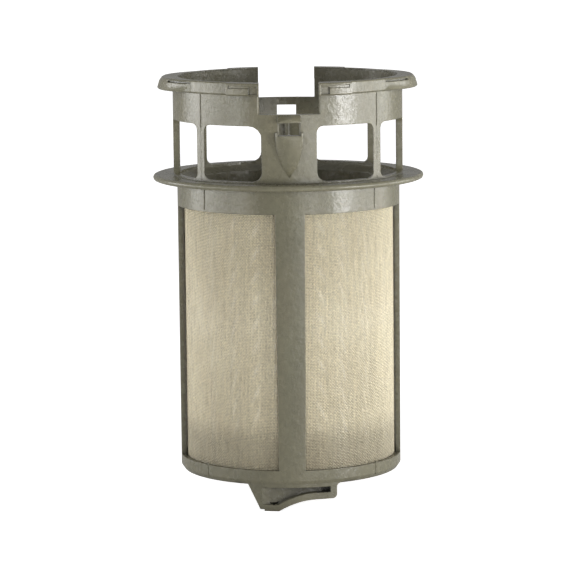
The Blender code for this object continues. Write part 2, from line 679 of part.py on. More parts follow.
def sleeve_heights():
    """Heights of the weave's rows, with one more row in each slot."""
    bottom = RING_TOP - SLOT_DEPTH + MESH_CLEARANCE
    top = COLLAR_BOTTOM + SLOT_DEPTH - MESH_CLEARANCE
    rows = [RING_TOP + BASKET_HEIGHT * row / WEAVE_ROWS for row in range(WEAVE_ROWS + 1)]
    return [bottom] + rows + [top]


def gap_places(cells, count, pitch):
    """Cells that hold a gap, in a pattern centred on a run of cells."""
    first = (cells - 1 - pitch * (count - 1)) // 2
    return [first + pitch * step for step in range(count)]


def make_side_mesh(material):
    """Woven sleeve inside the ribs, its two ends in the slots of the ring and the collar."""
    heights = sleeve_heights()
    turn = math.tau / WEAVE_COLUMNS
    bm = bmesh.new()
    line = [bm.verts.new((SLEEVE_MIDDLE, 0.0, height)) for height in heights]
    edges = [bm.edges.new((low, high)) for low, high in zip(line, line[1:])]
    bmesh.ops.spin(bm, geom=line + edges, cent=(0, 0, 0), axis=(0, 0, 1), angle=math.tau,
                   steps=WEAVE_COLUMNS, use_merge=True)
    bmesh.ops.remove_doubles(bm, verts=bm.verts, dist=1e-7)
    for vert in bm.verts:
        column = round(math.atan2(vert.co.y, vert.co.x) / turn)
        row = min(range(len(heights)), key=lambda index: abs(heights[index] - vert.co.z))
        if 1 < row < len(heights) - 2:
            swell = 1 + weave(column, row) / SLEEVE_MIDDLE
            vert.co.x *= swell
            vert.co.y *= swell
    open_cells(bm, heights)
    bmesh.ops.recalc_face_normals(bm, faces=bm.faces)
    bmesh.ops.solidify(bm, geom=bm.faces[:], thickness=MESH_THICKNESS)
    radii = [math.hypot(vert.co.x, vert.co.y) for vert in bm.verts]
    for vert, radius in zip(bm.verts, radii):
        swell = 1 + (SLEEVE_OUTSIDE - max(radii)) / radius
        vert.co.x *= swell
        vert.co.y *= swell
    return make_object("side_mesh", bm, material)


def open_cells(bm, heights):
    """Small square gap in the middle of some cells of the weave, in each panel between two ribs."""
    per_panel = WEAVE_COLUMNS // 4
    columns = gap_places(per_panel, GAP_COLUMNS, GAP_COLUMN_PITCH)
    rows = gap_places(WEAVE_ROWS, GAP_ROWS, GAP_ROW_PITCH)
    cells = []
    for face in bm.faces:
        centre = face.calc_center_median()
        column = int(math.atan2(centre.y, centre.x) % math.tau / math.tau * WEAVE_COLUMNS) % per_panel
        row = sum(height < centre.z for height in heights) - 2
        if column in columns and row in rows:
            cells.append(face)
    border = (SLEEVE_MIDDLE * math.tau / WEAVE_COLUMNS - GAP_WIDTH) / 2
    bmesh.ops.inset_individual(bm, faces=cells, thickness=border, use_even_offset=True)
    bmesh.ops.delete(bm, geom=cells, context='FACES_ONLY')


def make_floor_mesh(material):
    """Woven disc over the floor cross, its rim in the slot of the ring."""
    bm = bmesh.new()
    bmesh.ops.create_grid(bm, x_segments=FLOOR_WEAVE_CELLS, y_segments=FLOOR_WEAVE_CELLS,
                          size=FLOOR_RADIUS + WEAVE_RELIEF)
    cell = 2 * (FLOOR_RADIUS + WEAVE_RELIEF) / FLOOR_WEAVE_CELLS
    for vert in bm.verts:
        relief = weave(math.floor(vert.co.x / cell), math.floor(vert.co.y / cell))
        vert.co.z = FLOOR_MIDDLE - MESH_THICKNESS / 2 + relief
    bmesh.ops.recalc_face_normals(bm, faces=bm.faces)
    grown = bmesh.ops.extrude_face_region(bm, geom=bm.faces[:])
    moved = [item for item in grown["geom"] if isinstance(item, bmesh.types.BMVert)]
    bmesh.ops.translate(bm, verts=moved, vec=(0, 0, MESH_THICKNESS))
    floor = make_object("floor_mesh", bm, material)

    bm = bmesh.new()
    bmesh.ops.create_cone(bm, cap_ends=True, segments=TURN_STEPS, radius1=FLOOR_RADIUS,
                          radius2=FLOOR_RADIUS, depth=CAM_HEIGHT,
                          matrix=Matrix.Translation((0, 0, FLOOR_MIDDLE)))
    boolean(floor, make_object("floor_mesh_rim", bm), 'INTERSECT')
    return floor


def main():
    clear_scene()
    plastic = make_material("moulded_plastic", (0.26, 0.25, 0.19), 0.42)
    cloth = make_material("woven_mesh", (0.62, 0.55, 0.40), 0.55)
    make_frame(plastic)
    make_side_mesh(cloth)
    make_floor_mesh(cloth)


main()
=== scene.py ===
# %% [markdown]
# # A dishwasher filter, dressed for its picture
#
# The filter is a moulded plastic cage with a woven mesh cup in it. The shape is already modelled
# and packed as a fixed frame in metres. This file gives it its looks: smooth shading on the
# moulding, real threads in place of the plain mesh walls, surfaces, light and a camera.
#
# The first step loads that frame. Its nodes are never moved or changed. A node that needs another
# look is hidden, and a new piece stands for it.

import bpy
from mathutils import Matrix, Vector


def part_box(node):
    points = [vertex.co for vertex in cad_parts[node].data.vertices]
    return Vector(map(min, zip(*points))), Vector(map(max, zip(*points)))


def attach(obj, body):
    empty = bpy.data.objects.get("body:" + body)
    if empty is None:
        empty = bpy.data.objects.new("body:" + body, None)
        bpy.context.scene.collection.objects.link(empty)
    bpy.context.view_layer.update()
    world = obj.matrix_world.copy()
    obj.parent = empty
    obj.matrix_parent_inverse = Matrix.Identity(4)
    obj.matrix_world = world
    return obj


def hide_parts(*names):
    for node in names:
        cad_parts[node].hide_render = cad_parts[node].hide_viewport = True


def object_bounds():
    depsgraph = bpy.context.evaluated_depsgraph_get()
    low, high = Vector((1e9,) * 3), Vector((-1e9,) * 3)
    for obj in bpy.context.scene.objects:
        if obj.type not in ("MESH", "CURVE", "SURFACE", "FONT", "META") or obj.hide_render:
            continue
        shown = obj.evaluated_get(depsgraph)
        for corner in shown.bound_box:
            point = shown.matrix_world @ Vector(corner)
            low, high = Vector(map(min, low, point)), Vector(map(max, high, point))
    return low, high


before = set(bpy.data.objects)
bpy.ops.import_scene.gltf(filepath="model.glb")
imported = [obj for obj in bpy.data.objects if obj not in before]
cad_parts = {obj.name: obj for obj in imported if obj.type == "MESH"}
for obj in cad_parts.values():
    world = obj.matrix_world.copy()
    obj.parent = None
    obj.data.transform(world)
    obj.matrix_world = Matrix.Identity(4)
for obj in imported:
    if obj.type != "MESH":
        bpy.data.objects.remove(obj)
cad_low, cad_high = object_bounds()
print("nodes:", sorted(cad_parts))
print("size in mm:", [round(1000 * side, 1) for side in cad_high - cad_low])

# %% [markdown]
# Blender's own modules come next, with one unit that keeps the numbers readable: a millimetre. The
# few sizes that the looks need are read off the frame's nodes, so the threads always fit the
# moulding that they sit in.

# %% Modules and units
import math

import bmesh
import bpy
from mathutils import Matrix, Vector

MM = 0.001
TINY = 1e-6
QUARTER_TURN = math.tau / 4

side_low, side_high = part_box("side_mesh")
floor_low, floor_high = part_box("floor_mesh")
SLEEVE_RADIUS = side_high.x
FLOOR_RADIUS = floor_high.x
print("sleeve radius", round(SLEEVE_RADIUS / MM, 2), "mm, floor radius",
      round(FLOOR_RADIUS / MM, 2), "mm")

# %% [markdown]
# Every new piece is finished the same way: its bmesh becomes an object at the origin, gets one
# material, rides on the frame and hides the nodes that it stands for.


# %% Helper: place a piece
def place(name, bm, material, slot, *nodes):
    """Turn a bmesh into a piece that rides on the frame and stands for the named nodes."""
    mesh = bpy.data.meshes.new(name)
    bm.to_mesh(mesh)
    bm.free()
    mesh.materials.append(material)
    piece = bpy.data.objects.new(name, mesh)
    bpy.context.scene.collection.objects.link(piece)
    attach(piece, "root")
    if nodes:
        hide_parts(*nodes)
    print(name, "has", sum(len(face.vertices) - 2 for face in mesh.polygons), "triangles")
    return piece


print("pieces can be placed")

# %% [markdown]
# ## Helpers for materials
#
# A procedural material is a small network of nodes. A few short helpers keep each recipe readable.
# The first three make a node with its values, a material with its Principled shader, and a group
# with named inputs and outputs, for an effect that more than one material uses.


# %% Helpers: nodes, materials and groups
def node(tree, kind, values=(), **settings):
    """A node of one kind with its settings, and its input values by name or index."""
    made = tree.nodes.new(kind)
    for key, value in settings.items():
        setattr(made, key, value)
    for key, value in dict(values).items():
        made.inputs[key].default_value = value
    return made


def new_material(name, **values):
    """A material with a Principled shader, and the shader's own plain values."""
    material = bpy.data.materials.new(name)
    material.use_nodes = True
    shader = material.node_tree.nodes["Principled BSDF"]
    for key, value in values.items():
        shader.inputs[key.replace("_", " ")].default_value = value
    return material, material.node_tree, shader


def new_group(name, inputs, outputs):
    """A shader group, its sockets given as (name, type, value) and (name, type)."""
    group = bpy.data.node_groups.new(name, "ShaderNodeTree")
    for label, kind, value in inputs:
        socket = group.interface.new_socket(label, in_out='INPUT', socket_type=kind)
        socket.default_value = value
    for label, kind in outputs:
        group.interface.new_socket(label, in_out='OUTPUT', socket_type=kind)
    entry = group.nodes.new("NodeGroupInput")
    leave = group.nodes.new("NodeGroupOutput")
    return group, entry, leave


print("nodes, materials and groups can be made")

# %% [markdown]
# The others are the small steps that both recipes are made of. Some read the surface: how high a
# point lies, how far from the axis, and how much of the room round it is open. The rest change one
# value or colour into another.


# %% Helpers: reading the surface
def own_spot(tree):
    """Where a point of the surface lies, in the piece's own coordinates."""
    return node(tree, "ShaderNodeTexCoord").outputs["Object"]


def own_height(tree):
    """How high a point lies above the feet of the cams."""
    parts = node(tree, "ShaderNodeSeparateXYZ")
    tree.links.new(own_spot(tree), parts.inputs[0])
    return parts.outputs["Z"]


def distance_from_axis(tree):
    """How far a point lies from the axis of the cup."""
    level = node(tree, "ShaderNodeVectorMath", {1: (1.0, 1.0, 0.0)}, operation='MULTIPLY')
    tree.links.new(own_spot(tree), level.inputs[0])
    length = node(tree, "ShaderNodeVectorMath", operation='LENGTH')
    tree.links.new(level.outputs[0], length.inputs[0])
    return length.outputs["Value"]


def open_room(tree, reach, samples):
    """How much of the room within a reach of a point is open, from 0 to 1."""
    return node(tree, "ShaderNodeAmbientOcclusion", {"Distance": reach},
                samples=samples).outputs["AO"]


print("surfaces can be read")


# %% Helpers: changing values and colours
def between(tree, value, low, high, at_low, at_high):
    """A smooth change from one number to another while a value goes from low to high."""
    change = node(tree, "ShaderNodeMapRange",
                  {"From Min": low, "From Max": high, "To Min": at_low, "To Max": at_high},
                  interpolation_type='SMOOTHSTEP')
    tree.links.new(value, change.inputs["Value"])
    return change.outputs[0]


def product(tree, first, *others):
    """Values multiplied."""
    for other in others:
        result = node(tree, "ShaderNodeMath", operation='MULTIPLY')
        tree.links.new(first, result.inputs[0])
        tree.links.new(other, result.inputs[1])
        first = result.outputs[0]
    return first


def colour_mix(tree, share, low, high):
    """A mix of two colours. A value that is a socket is linked, and any other value is set."""
    mix = node(tree, "ShaderNodeMix", data_type='RGBA', blend_type='MIX')
    for index, value in ((0, share), (6, low), (7, high)):
        if isinstance(value, bpy.types.NodeSocket):
            tree.links.new(value, mix.inputs[index])
        else:
            mix.inputs[index].default_value = value
    return mix.outputs[2]


def scaled(tree, colour, factor):
    """A colour made lighter or darker by a factor."""
    result = node(tree, "ShaderNodeVectorMath", operation='SCALE')
    tree.links.new(colour, result.inputs[0])
    tree.links.new(factor, result.inputs["Scale"])
    return result.outputs[0]


def bump(tree, heights, under, strength, depth):
    """Normals with a bump laid over the ones that lie under it."""
    made = node(tree, "ShaderNodeBump", {"Strength": strength, "Distance": depth})
    tree.links.new(heights, made.inputs["Height"])
    tree.links.new(under, made.inputs["Normal"])
    return made.outputs["Normal"]


print("values and colours can be changed")

# %% [markdown]
# ## Mottling, for the plastic and for the cloth
#
# Neither material is one flat colour. A moulding shows slow, cloudy changes of tone where the
# plastic flowed, and the cloth shows streaks along its threads. Both are the same effect at another
# stretch: noise whose coordinates are squeezed along the part's axis. So it is one group, with the
# size, the stretch and the strength as its inputs.


# %% Group: cloudy tone
def make_cloud_group():
    group, entry, leave = new_group(
        "cloudy_tone",
        [("Size", "NodeSocketFloat", 40.0), ("Upright Stretch", "NodeSocketFloat", 1.0),
         ("Low", "NodeSocketFloat", 0.9), ("High", "NodeSocketFloat", 1.1)],
        [("Tone", "NodeSocketFloat")])
    links = group.links
    squeeze = node(group, "ShaderNodeCombineXYZ", {"X": 1.0, "Y": 1.0})
    links.new(entry.outputs["Upright Stretch"], squeeze.inputs["Z"])
    stretched = node(group, "ShaderNodeVectorMath", operation='MULTIPLY')
    links.new(own_spot(group), stretched.inputs[0])
    links.new(squeeze.outputs[0], stretched.inputs[1])
    noise = node(group, "ShaderNodeTexNoise", {"Detail": 4.0, "Roughness": 0.6})
    links.new(stretched.outputs[0], noise.inputs["Vector"])
    links.new(entry.outputs["Size"], noise.inputs["Scale"])
    tone = node(group, "ShaderNodeMapRange", {"From Min": 0.3, "From Max": 0.7})
    links.new(noise.outputs["Fac"], tone.inputs["Value"])
    links.new(entry.outputs["Low"], tone.inputs["To Min"])
    links.new(entry.outputs["High"], tone.inputs["To Max"])
    links.new(tone.outputs[0], leave.inputs["Tone"])
    return group


cloudy_tone = make_cloud_group()
print("group", cloudy_tone.name, "ready")


def cloud(tree, size, stretch, low, high):
    """One use of the cloudy tone in a material."""
    return node(tree, "ShaderNodeGroup",
                {"Size": size, "Upright Stretch": stretch, "Low": low, "High": high},
                node_tree=cloudy_tone).outputs["Tone"]


# %% [markdown]
# ## The moulded plastic
#
# The moulding is an olive-grey plastic with a soft sheen. Its tone drifts a little. Shade is painted
# into its colour: it is darker in its corners, which the Ambient Occlusion node finds: it says how
# much of the room round each point is open within a few millimetres. The same painted shade lies on
# the inner side of the walls, most of all behind the lip, and the cage is painted darker towards its
# foot and lighter towards the head.
#
# The skin isn't flat either. It sank a little as it cooled, which shows as slow waves in the sheen,
# and it has a fine grain. Moulded edges are never knife sharp, so a Bevel node rounds the shading
# over the last quarter of a millimetre of each edge, which is what catches the thin light lines.

# %% Material: moulded plastic
OLIVE_DARK = (0.146, 0.139, 0.091, 1.0)
OLIVE_LIGHT = (0.182, 0.174, 0.115, 1.0)
OLIVE_WARM = (0.190, 0.168, 0.111, 1.0)
CORNER_SHADE_REACH = 4.0 * MM
INNER_FACE, OUTER_FACE = 31.0 * MM, 32.6 * MM
LIP_SHADE_START, LIP_SHADE_END = 107.0 * MM, 113.0 * MM
HEIGHT_SHADE_START, HEIGHT_SHADE_END = 60.0 * MM, 100.0 * MM
EDGE_ROUNDING = 0.28 * MM
WAVE_DEPTH = 0.12 * MM
GRAIN_DEPTH = 0.06 * MM


def painted_shade(tree):
    """Painted shade: darker in corners, on its inner side and towards its foot."""
    height = own_height(tree)
    # Painted shade: darker in corners, where little of the room round a point is open.
    corner_shade = between(tree, open_room(tree, CORNER_SHADE_REACH, samples=8),
                      low=0.3, high=0.8, at_low=0.4, at_high=1.0)
    # Painted shade on the inner side of the walls, deepest behind the lip.
    inner_shade_tone = between(tree, height, LIP_SHADE_START, LIP_SHADE_END, at_low=0.66, at_high=0.42)
    inner_shade = node(tree, "ShaderNodeMapRange",
                  {"From Min": INNER_FACE, "From Max": OUTER_FACE, "To Max": 1.0})
    tree.links.new(distance_from_axis(tree), inner_shade.inputs["Value"])
    tree.links.new(inner_shade_tone, inner_shade.inputs["To Min"])
    # Painted light and shade by height: darker towards the foot, lighter at the head.
    height_shade = between(tree, height, HEIGHT_SHADE_START, HEIGHT_SHADE_END, at_low=0.94, at_high=1.08)
    return product(tree, corner_shade, inner_shade.outputs[0], height_shade)


def make_plastic():
    material, tree, shader = new_material("moulded_plastic", IOR=1.58)
    links = tree.links
    drift = cloud(tree, size=60.0, stretch=0.5, low=0.0, high=1.0)
    olive = colour_mix(tree, drift, OLIVE_DARK, OLIVE_LIGHT)
    warmth = cloud(tree, size=130.0, stretch=0.25, low=0.0, high=0.5)
    warm = colour_mix(tree, warmth, olive, OLIVE_WARM)
    mottle = cloud(tree, size=650.0, stretch=1.0, low=0.90, high=1.10)
    # The colour carries the painted shade of corners, inner walls and height, and a random mottle.
    shaded_olive = scaled(tree, warm, product(tree, painted_shade(tree), mottle))
    links.new(shaded_olive, shader.inputs["Base Color"])
    sheen = cloud(tree, size=220.0, stretch=1.0, low=0.22, high=0.32)
    links.new(sheen, shader.inputs["Roughness"])
    rounding = node(tree, "ShaderNodeBevel", {"Radius": EDGE_ROUNDING}, samples=6)
    waves = bump(tree, cloud(tree, size=700.0, stretch=0.8, low=0.0, high=1.0),
                 rounding.outputs["Normal"], strength=0.45, depth=WAVE_DEPTH)
    grain = bump(tree, cloud(tree, size=2600.0, stretch=1.0, low=0.0, high=1.0),
                 waves, strength=0.25, depth=GRAIN_DEPTH)
    links.new(grain, shader.inputs["Normal"])
    return material


plastic = make_plastic()
print("material", plastic.name, "ready")

# %% [markdown]
# ## The cage
#
# The cage is one moulding: lip with ears and tabs, windowed head, flange, collar, ribs, ring, cross
# and cams. Its shape is right in the frame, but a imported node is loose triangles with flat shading.
# A merged copy stands for it here, with the same corners, and gets smooth round walls.
#
# Blender could smooth such a mesh by angle alone, but the long thin triangles beside the windows
# would show as smudges. The moulding is turned about the Z axis, so the true normal of each round
# wall is known: it points straight away from the axis. Those normals are written in, flat walls
# keep their own, and only the small rounded strips are left to the smoothing by angle.

# %% Piece: the cage, as a merged copy
LOOKS_UP = 0.9995
LOOKS_OUT = 0.9975
LEANS = 0.02
ROUND_WITHIN = 0.12 * MM
SMOOTH_BELOW = math.radians(30)


def merged_copy(source):
    """The source's mesh with its doubled corners merged."""
    bm = bmesh.new()
    bm.from_mesh(source.data)
    bmesh.ops.remove_doubles(bm, verts=bm.verts, dist=TINY)
    return bm


def level_part(vector):
    """A vector without its height."""
    return Vector((vector.x, vector.y, 0.0))


def true_normal(face_normal, spots, spot):
    """The right normal at one corner of a face, or None where smoothing by angle decides."""
    if abs(face_normal.z) > LOOKS_UP:
        return face_normal
    facing = level_part(face_normal)
    if abs(face_normal.z) >= LEANS or not facing.length:
        return None
    radii = [math.hypot(point.x, point.y) for point in spots]
    middle = sum(spots, Vector()) / len(spots)
    outwards = facing.normalized().dot(level_part(middle).normalized())
    if abs(outwards) > LOOKS_OUT and max(radii) - min(radii) < ROUND_WITHIN:
        away = level_part(spot).normalized()
        return away if outwards > 0 else -away
    return face_normal


def shade_round_walls(piece):
    """Smooth by angle first, then write the known normals of round and flat walls."""
    mesh = piece.data
    mesh.shade_smooth()
    mesh.set_sharp_from_angle(angle=SMOOTH_BELOW)
    normals = [Vector(corner.vector) for corner in mesh.corner_normals]
    known = 0
    for face in mesh.polygons:
        spots = [mesh.vertices[index].co for index in face.vertices]
        for loop in face.loop_indices:
            corner = mesh.vertices[mesh.loops[loop].vertex_index].co
            normal = true_normal(face.normal, spots, corner)
            if normal is not None:
                normals[loop] = normal
                known += 1
    mesh.normals_split_custom_set(normals)
    print("known normals:", known, "of", len(normals))


cage = place("cage", merged_copy(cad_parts["frame"]), plastic, "frame", "frame")
shade_round_walls(cage)

# %% [markdown]
# ## Parting lines
#
# The mould for such a cage opens sideways as well as upwards, and where its blocks met, a hair of
# plastic was pressed out. It stands as a thin ridge down the middle of each post of the head, and
# goes on over the collar and the bottom ring. Each ridge is a thin bar with rounded edges, half
# sunk into the wall. A ray that is cast from outside finds that wall.

# %% Piece: the parting lines
PARTING_TURN = math.radians(48.7)
RIDGE_WIDTH = 0.45 * MM
RIDGE_DEPTH = 0.5 * MM
RIDGE_RUNS = (  # bottom, top, how far it stands out of the wall
    (111.2 * MM, 120.6 * MM, 0.2 * MM),
    (96.2 * MM, 111.6 * MM, 0.05 * MM),
    (87.2 * MM, 93.4 * MM, 0.2 * MM),
    (8.6 * MM, 12.6 * MM, 0.15 * MM))


def wall_radius(azimuth, height):
    """Distance from the axis to the cage's outer skin, seen from outside."""
    outward = Vector((math.sin(azimuth), math.cos(azimuth), 0.0))
    start = outward * (cad_high.x + MM) + Vector((0.0, 0.0, height))
    hit, spot, _, _ = cage.ray_cast(start, -outward)
    assert hit, (azimuth, height)
    return math.hypot(spot.x, spot.y)


def make_parting_lines():
    bm = bmesh.new()
    bpy.context.view_layer.update()
    for azimuth in (PARTING_TURN, -PARTING_TURN, math.pi + PARTING_TURN, math.pi - PARTING_TURN):
        for bottom, top, rise in RIDGE_RUNS:
            middle = (bottom + top) / 2
            radius = wall_radius(azimuth, middle) + rise - RIDGE_DEPTH / 2
            bar = bmesh.ops.create_cube(bm, size=1.0)["verts"]
            bmesh.ops.scale(bm, verts=bar, vec=(RIDGE_WIDTH, RIDGE_DEPTH, top - bottom))
            bmesh.ops.translate(bm, verts=bar, vec=(0, radius, middle))
            bmesh.ops.rotate(bm, verts=bar, cent=(0, 0, 0),
                             matrix=Matrix.Rotation(-azimuth, 3, 'Z'))
    bmesh.ops.bevel(bm, geom=bm.edges[:], offset=RIDGE_WIDTH / 4, offset_type='OFFSET', segments=2,
                    profile=0.5, affect='EDGES', material=-1)
    return place("parting_lines", bm, plastic, "frame")


make_parting_lines()

# %% [markdown]
# ## The cloth's threads
#
# The mesh is a plain weave of stiff cream monofilament, a little over two threads to the
# millimetre. Where threads cross, one passes over the other, and at this scale it is those
# crossings that make the cloth sparkle and the small square holes that let light through. So the
# threads are modelled.
#
# The upright threads of this cloth are held straight, and the level ones weave over and under them.
# The sleeve's height and radius give the pitch, so that whole threads fit both ways.

# %% Sizes of the weave
SIDE_COLUMNS = 448
QUARTER_COLUMNS = SIDE_COLUMNS // 4
THREAD_WIDTH = 0.32 * MM
THREAD_DEPTH = 0.16 * MM
UPRIGHT_WIDTH = 0.31 * MM
WEAVE_SWING = 0.16 * MM
WEAVE_INSET = 0.02 * MM
WEAVE_RADIUS = SLEEVE_RADIUS - WEAVE_SWING - THREAD_DEPTH / 2 - WEAVE_INSET
PITCH = WEAVE_RADIUS * math.tau / SIDE_COLUMNS
WOVEN_HEIGHT = side_high.z - side_low.z - THREAD_WIDTH
SIDE_ROWS = 2 * int(WOVEN_HEIGHT / PITCH / 2)
ROW_PITCH = WOVEN_HEIGHT / SIDE_ROWS
print("threads every", round(PITCH / MM, 3), "mm,", SIDE_ROWS, "rows")

# %% [markdown]
# The filament is a pale cream with darker streaks along the upright threads and a fine speckle.
# Light hardly reaches the gaps between the threads, so a painted shade darkens them, and the lowest
# centimetre is darker.

# %% Material: the cloth's monofilament
CREAM_LIGHT = (0.90, 0.82, 0.605, 1.0)
CREAM_DARK = (0.82, 0.73, 0.525, 1.0)
GAP_SHADE_REACH = 0.4 * MM
DARKEST_HEIGHT, DARKENING_TOP = 18.0 * MM, 27.0 * MM


def make_filament():
    material, tree, shader = new_material("cream_filament", IOR=1.52)
    drift = cloud(tree, size=90.0, stretch=0.6, low=0.0, high=1.0)
    cream = colour_mix(tree, drift, CREAM_LIGHT, CREAM_DARK)
    # Painted shade in the gaps between the threads, where light hardly reaches.
    gap_shade = between(tree, open_room(tree, GAP_SHADE_REACH, samples=4),
                   low=0.2, high=0.75, at_low=0.5, at_high=1.08)
    streaks = cloud(tree, size=1100.0, stretch=0.03, low=0.90, high=1.06)
    speckle = cloud(tree, size=1900.0, stretch=1.0, low=0.74, high=1.18)
    # The cloth is darker towards the bottom of the sleeve.
    darker_below = between(tree, own_height(tree), DARKEST_HEIGHT, DARKENING_TOP, at_low=0.70, at_high=1.0)
    # The cream carries the painted shade of the gaps, random streaks and speckle, and the darker
    # bottom.
    toned_and_shaded_cream = scaled(tree, cream, product(tree, gap_shade, product(tree, streaks, speckle), darker_below))
    tree.links.new(toned_and_shaded_cream, shader.inputs["Base Color"])
    sheen = cloud(tree, size=700.0, stretch=0.2, low=0.22, high=0.36)
    tree.links.new(sheen, shader.inputs["Roughness"])
    return material


filament = make_filament()
print("material", filament.name, "ready")

# %% [markdown]
# The sleeve is made as one quarter and turned into its four places. A level thread starts as a
# small square section that is spun round the axis, one step for each upright thread. Then every
# second step is pushed out and every other one in, the other way round in the row above, and the
# two rows are repeated upwards.


# %% Piece: the woven sleeve, one quarter made four times
def copies_along(bm, total, step):
    """Repeat what the bmesh holds until there are so many, each moved by one more step."""
    unit = bm.verts[:] + bm.edges[:] + bm.faces[:]
    for index in range(1, total):
        copy = bmesh.ops.duplicate(bm, geom=unit)
        moved = [item for item in copy["geom"] if isinstance(item, bmesh.types.BMVert)]
        bmesh.ops.translate(bm, verts=moved, vec=step * index)


def spin_thread(bm, height):
    """One level thread round a quarter of the sleeve, spun from its square section."""
    half_width, half_depth = THREAD_WIDTH / 2, THREAD_DEPTH / 2
    corner_shade = [bm.verts.new((WEAVE_RADIUS + out, 0.0, height + up)) for out, up in (
        (half_depth, 0.0), (0.0, half_width), (-half_depth, 0.0), (0.0, -half_width))]
    section = bm.faces.new(corner_shade)
    bmesh.ops.spin(bm, geom=[section], cent=(0, 0, 0), axis=(0, 0, 1), angle=QUARTER_TURN,
                   steps=QUARTER_COLUMNS)


def level_threads():
    """All level threads of the first quarter: two that weave opposite ways, then copies upwards."""
    bm = bmesh.new()
    first_row = side_low.z + THREAD_WIDTH / 2
    for row in (0, 1):
        spin_thread(bm, first_row + ROW_PITCH * (row + 0.5))
    for vert in bm.verts:
        column = round(math.atan2(vert.co.y, vert.co.x) / QUARTER_TURN * QUARTER_COLUMNS)
        row = 0 if vert.co.z < first_row + ROW_PITCH else 1
        swing = 1 + (WEAVE_SWING if (column + row) % 2 else -WEAVE_SWING) / WEAVE_RADIUS
        vert.co.x *= swing
        vert.co.y *= swing
    copies_along(bm, SIDE_ROWS // 2, Vector((0, 0, 2 * ROW_PITCH)))
    return bm


def add_upright_threads(bm):
    """Straight threads at every step of the level ones."""
    middle = Matrix.Translation((WEAVE_RADIUS, 0.0, (side_low.z + side_high.z) / 2))
    for column in range(QUARTER_COLUMNS):
        turn = Matrix.Rotation(math.tau * column / SIDE_COLUMNS, 4, 'Z')
        bar = bmesh.ops.create_cone(bm, cap_ends=True, segments=4, radius1=0.5, radius2=0.5,
                                    depth=1.0)["verts"]
        bmesh.ops.scale(bm, verts=bar, vec=(THREAD_DEPTH, UPRIGHT_WIDTH, side_high.z - side_low.z))
        bmesh.ops.transform(bm, verts=bar, matrix=turn @ middle)


def make_sleeve_quarters():
    """Four turned copies of one quarter, each a piece of its own that ends behind two ribs."""
    bm = level_threads()
    add_upright_threads(bm)
    bmesh.ops.recalc_face_normals(bm, faces=bm.faces)
    for face in bm.faces:
        face.smooth = True
    names = ("cloth_back_right", "cloth_back_left", "cloth_front_left", "cloth_front_right")
    for index, name in enumerate(names):
        quarter = bm.copy()
        bmesh.ops.rotate(quarter, verts=quarter.verts, cent=(0, 0, 0),
                         matrix=Matrix.Rotation(QUARTER_TURN * index, 3, 'Z'))
        place(name, quarter, filament, "side_mesh", "side_mesh")
    bm.free()


make_sleeve_quarters()

# %% [markdown]
# ## The floor of the cup
#
# The floor is a disc of the same cloth over a plus-shaped cross. One thread starts as a cube that
# is stretched and subdivided along its length, and is pushed up and down in turn. A mirrored
# neighbour and copies of the two fill a square, what lies outside the disc is deleted, and the cut
# ends are closed.

# %% Piece: the woven floor
FLOOR_GAP = 0.1 * MM


def weaving_threads(cells):
    """A square of level threads that go up and down in turn, round the origin."""
    bm = bmesh.new()
    bmesh.ops.create_cube(bm, size=1.0)
    bmesh.ops.scale(bm, verts=bm.verts, vec=(cells * PITCH, THREAD_WIDTH, THREAD_DEPTH))
    lengthways = [edge for edge in bm.edges if edge.calc_length() > PITCH]
    bmesh.ops.subdivide_edges(bm, edges=lengthways, cuts=cells - 1)
    for vert in bm.verts:
        vert.co.z += WEAVE_SWING * (1 if round(vert.co.x / PITCH) % 2 else -1)
    copy = bmesh.ops.duplicate(bm, geom=bm.verts[:] + bm.edges[:] + bm.faces[:])
    beside = [item for item in copy["geom"] if isinstance(item, bmesh.types.BMVert)]
    bmesh.ops.scale(bm, verts=beside, vec=(1, 1, -1))
    bmesh.ops.translate(bm, verts=beside, vec=(0, PITCH, 0))
    copies_along(bm, cells // 2, Vector((0, 2 * PITCH, 0)))
    bmesh.ops.translate(bm, verts=bm.verts, vec=(0, (1 - cells) / 2 * PITCH, 0))
    return bm


def trim_to_disc(bm, radius):
    """Delete what lies outside a circle and close the cut ends."""
    outside = [vert for vert in bm.verts if math.hypot(vert.co.x, vert.co.y) > radius]
    bmesh.ops.delete(bm, geom=outside, context='VERTS')
    open_edges = [edge for edge in bm.edges if edge.is_boundary]
    bmesh.ops.holes_fill(bm, edges=open_edges, sides=4)


def add_straight_threads(bm, cells, radius):
    """Straight threads across the weaving ones, each as long as the disc is there."""
    for column in range(1, cells):
        across = (column - cells / 2) * PITCH
        reach = math.sqrt(max(radius ** 2 - across ** 2, 0.0))
        bar = bmesh.ops.create_cube(bm, size=1.0)["verts"]
        bmesh.ops.scale(bm, verts=bar, vec=(THREAD_DEPTH, 2 * reach, THREAD_DEPTH))
        bmesh.ops.translate(bm, verts=bar, vec=(across, 0, 0))


def make_floor_cloth():
    cells = 2 * round(FLOOR_RADIUS / PITCH)
    radius = FLOOR_RADIUS - FLOOR_GAP
    bm = weaving_threads(cells)
    trim_to_disc(bm, radius)
    add_straight_threads(bm, cells, radius)
    bmesh.ops.translate(bm, verts=bm.verts, vec=(0, 0, (floor_low.z + floor_high.z) / 2))
    bmesh.ops.recalc_face_normals(bm, faces=bm.faces)
    return place("cloth_floor", bm, filament, "floor_mesh", "floor_mesh")


make_floor_cloth()

# %% [markdown]
# ## Floor and light
#
# The picture is a catalogue one: white all round, soft light from both sides and a little more from
# the right. The floor is a plain pale disc under the cams. For the camera alone it glows a little,
# so the background is white while the object still gets plain light and leaves a faint shadow.

# %% Stage: floor
WHITE = (1.0, 1.0, 1.0, 1.0)
PALE = (0.86, 0.86, 0.86, 1.0)
STAGE_RADIUS = 8.0
STAGE_DROP = 0.05 * MM
STAGE_GLOW = 0.85


